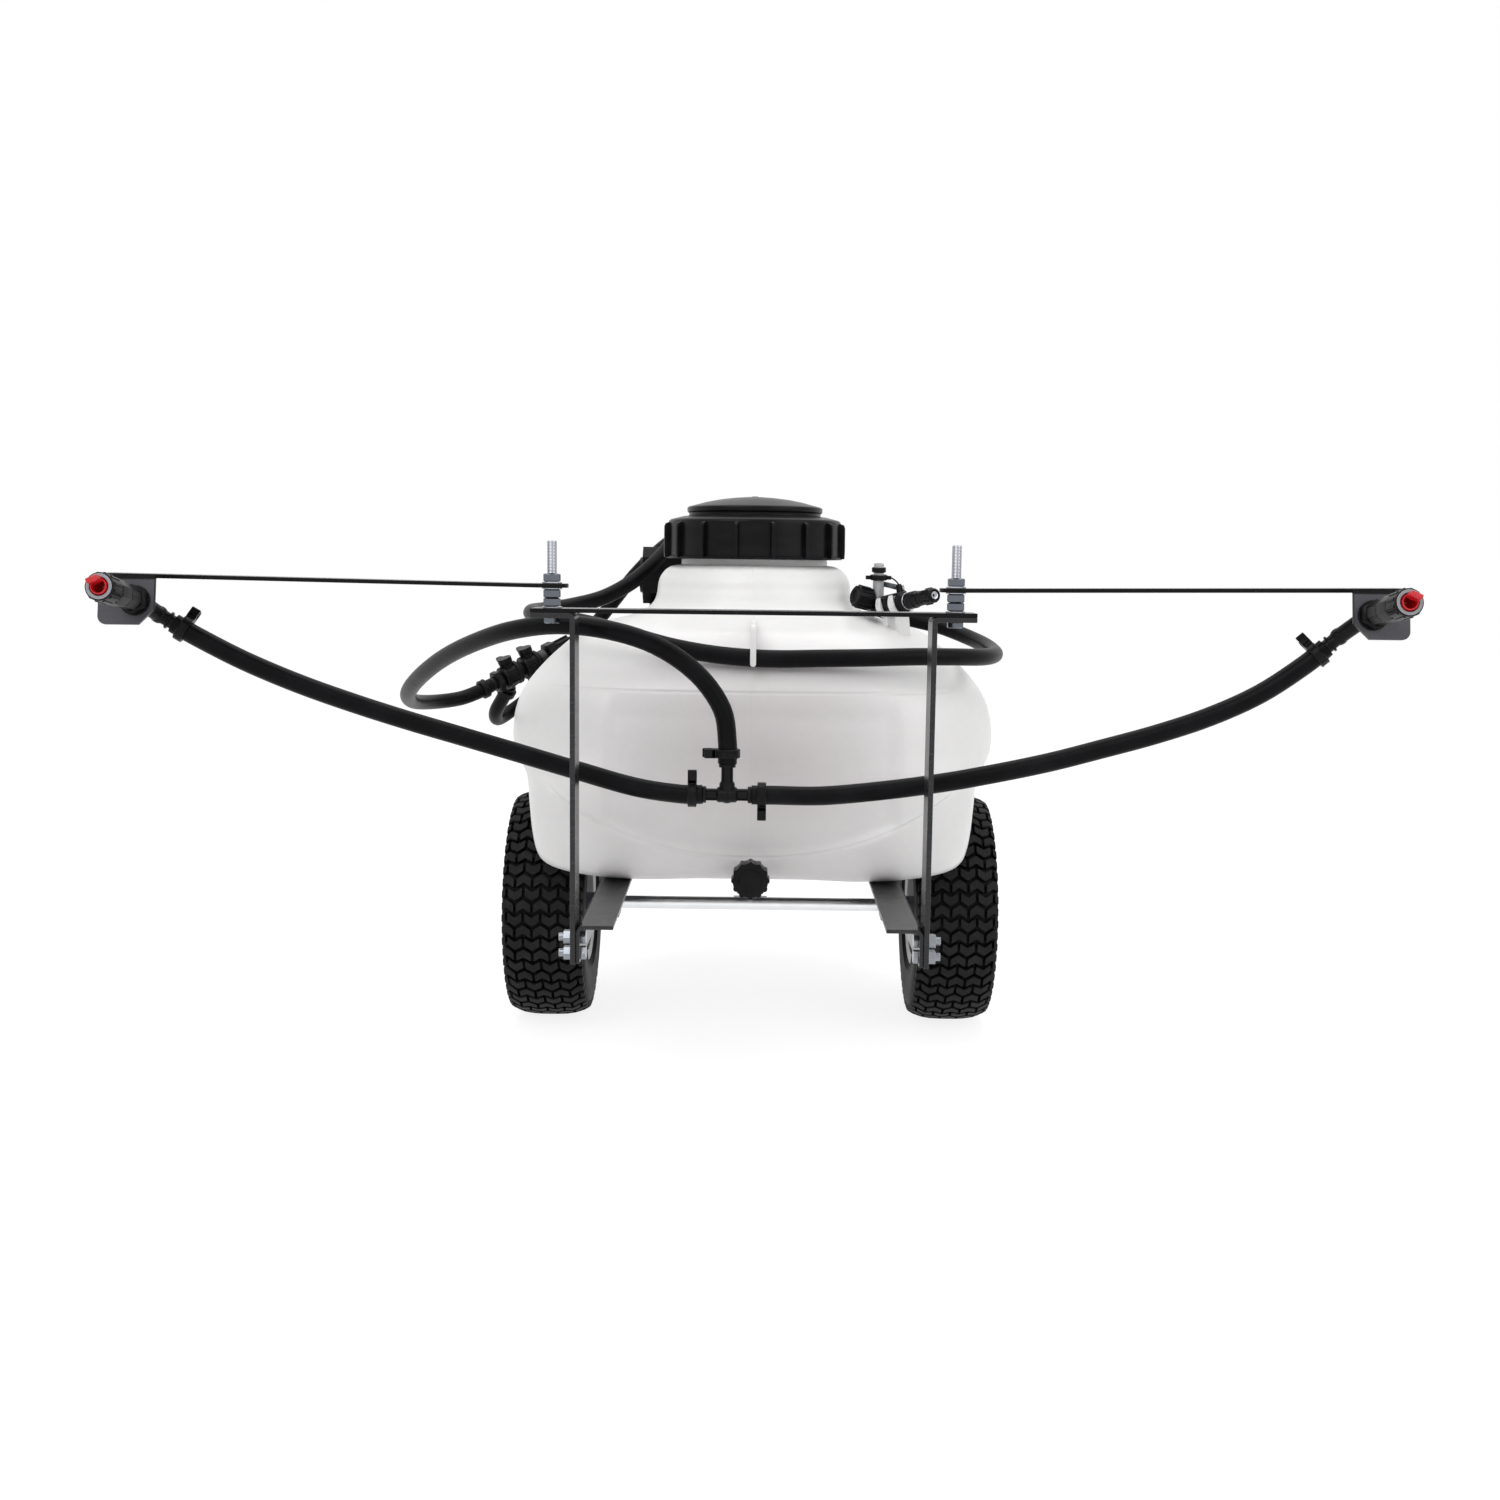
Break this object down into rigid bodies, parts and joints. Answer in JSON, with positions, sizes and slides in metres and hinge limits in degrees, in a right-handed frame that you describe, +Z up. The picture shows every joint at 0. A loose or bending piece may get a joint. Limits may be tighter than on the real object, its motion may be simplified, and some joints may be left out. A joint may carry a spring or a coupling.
{
  "type": "tow-behind sprayer cart",
  "caption": "Tow-behind sprayer cart: moulded tank on two rails with turf wheels, a drawbar, a pump, a spray gun with its hose and a folding two-nozzle rear boom.",
  "frame": {"origin": "on the ground at the middle of the cart's footprint, halfway between the hitch and the nozzle tips", "axes": "+X to the right side seen from behind, +Y in the travel direction towards the hitch, +Z up"},
  "size_m": [1.25, 1.3947, 0.645],
  "materials": {
    "frame_paint": "satin charcoal powder coat",
    "bar_paint": "satin black powder coat",
    "zinc": "bright zinc plate",
    "rim_paint": "light grey paint",
    "tank_plastic": "rotomoulded natural polyethylene",
    "black_plastic": "moulded nylon",
    "red_plastic": "moulded acetal",
    "hose_rubber": "smooth cover",
    "tyre_rubber": "moulded turf tread"
  },
  "bodies": {
    "chassis": {"tank": "tank_plastic", "hose_hook": "tank_plastic", "tank_bolts": "zinc", "rail_left": "frame_paint", "rail_right": "frame_paint", "axle": "zinc", "axle_brackets": "frame_paint", "axle_collars": "zinc", "frame_bolts": "zinc", "cross_plates": "frame_paint", "drawbar": "frame_paint", "hitch_clevis": "frame_paint", "hitch_bolts": "zinc", "stand_bracket": "frame_paint", "stand_bolt": "zinc", "upright_left": "frame_paint", "upright_right": "frame_paint", "upright_bolts": "zinc", "crossbar": "bar_paint", "pivot_bolts": "zinc", "pivot_nuts": "zinc", "boom_tee": "black_plastic", "tee_clamps": "black_plastic", "boom_hose_left": "hose_rubber", "boom_hose_right": "hose_rubber", "supply_hose": "hose_rubber", "manifold": "black_plastic", "manifold_bracket": "frame_paint", "manifold_clamps": "black_plastic", "feed_hose": "hose_rubber", "pump": "black_plastic", "pump_feet": "hose_rubber", "pickup_pipe": "black_plastic", "gun_hose": "hose_rubber", "gun_body": "black_plastic", "gun_clips": "tank_plastic"},
    "wheel_left": {"tyre_left": "tyre_rubber", "rim_left": "rim_paint", "bushes_left": "black_plastic"},
    "wheel_right": {"tyre_right": "tyre_rubber", "rim_right": "rim_paint", "bushes_right": "black_plastic"},
    "boom_left": {"arm_left": "bar_paint", "nozzle_body_left": "black_plastic", "nozzle_tip_left": "red_plastic", "nozzle_clamp_left": "black_plastic"},
    "boom_right": {"arm_right": "bar_paint", "nozzle_body_right": "black_plastic", "nozzle_tip_right": "red_plastic", "nozzle_clamp_right": "black_plastic"},
    "lid_seal": {"lid_gasket": "hose_rubber"},
    "lid": {"lid": "black_plastic"},
    "drain_cap": {"drain_cap": "black_plastic", "drain_gasket": "hose_rubber"},
    "boom_valve": {"boom_valve_lever": "black_plastic"},
    "bypass_valve": {"bypass_valve_lever": "black_plastic"},
    "pressure_knob": {"pressure_knob": "black_plastic"},
    "gun_trigger": {"gun_trigger": "zinc"},
    "gun_tip": {"gun_tip": "black_plastic"},
    "stand": {"stand_leg": "frame_paint"}
  },
  "joints": [
    {"name": "wheel_left_spin", "type": "hinge", "parent": "chassis", "child": "wheel_left", "pos_m": [-0.245, -0.15749, 0.14], "axis": [1, 0, 0], "continuous": true},
    {"name": "wheel_right_spin", "type": "hinge", "parent": "chassis", "child": "wheel_right", "pos_m": [0.245, -0.15749, 0.14], "axis": [1, 0, 0], "continuous": true},
    {"name": "boom_left_fold", "type": "hinge", "parent": "chassis", "child": "boom_left", "pos_m": [-0.195, -0.57749, 0.5395], "axis": [0, 0, -1], "range_deg": [0, 70], "deforming": ["boom_hose_left"]},
    {"name": "boom_right_fold", "type": "hinge", "parent": "chassis", "child": "boom_right", "pos_m": [0.195, -0.57749, 0.5395], "axis": [0, 0, 1], "range_deg": [0, 70], "deforming": ["boom_hose_right"]},
    {"name": "lid_rise", "type": "slide", "parent": "chassis", "child": "lid_seal", "axis": [0, 0, 1], "range_m": [0, 0.012]},
    {"name": "lid_turn", "type": "hinge", "parent": "lid_seal", "child": "lid", "pos_m": [0, -0.15749, 0.569], "axis": [0, 0, 1], "range_deg": [0, 540]},
    {"name": "drain_cap_turn", "type": "hinge", "parent": "chassis", "child": "drain_cap", "pos_m": [0, -0.41949, 0.222], "axis": [0, 1, 0], "range_deg": [0, 540]},
    {"name": "boom_valve_turn", "type": "hinge", "parent": "chassis", "child": "boom_valve", "pos_m": [-0.34187, 0.07854, 0.42289], "axis": [0.3186, 0.2336, -0.9186], "range_deg": [0, 90]},
    {"name": "bypass_valve_turn", "type": "hinge", "parent": "chassis", "child": "bypass_valve", "pos_m": [-0.31668, 0.09702, 0.43632], "axis": [0.3186, 0.2336, -0.9186], "range_deg": [0, 90]},
    {"name": "pressure_knob_turn", "type": "hinge", "parent": "chassis", "child": "pressure_knob", "pos_m": [-0.27803, 0.12536, 0.43625], "axis": [0.7408, 0.5433, 0.3951], "range_deg": [0, 720]},
    {"name": "gun_trigger_squeeze", "type": "hinge", "parent": "chassis", "child": "gun_trigger", "pos_m": [0.16899, -0.25399, 0.53733], "axis": [-0.866, -0.5, 0], "range_deg": [0, 12], "stiffness_Nm_per_rad": 0.3},
    {"name": "gun_tip_turn", "type": "hinge", "parent": "chassis", "child": "gun_tip", "pos_m": [0.19156, -0.29307, 0.52726], "axis": [0.4938, -0.8554, 0.1564], "range_deg": [0, 180]},
    {"name": "stand_fold", "type": "hinge", "parent": "chassis", "child": "stand", "pos_m": [0, 0.49751, 0.152], "axis": [-1, 0, 0], "range_deg": [0, 90]}
  ],
  "couplings": [
    {"joint": "lid_rise", "follows": "lid_turn", "m_per_rad": 0.0012732}
  ]
}
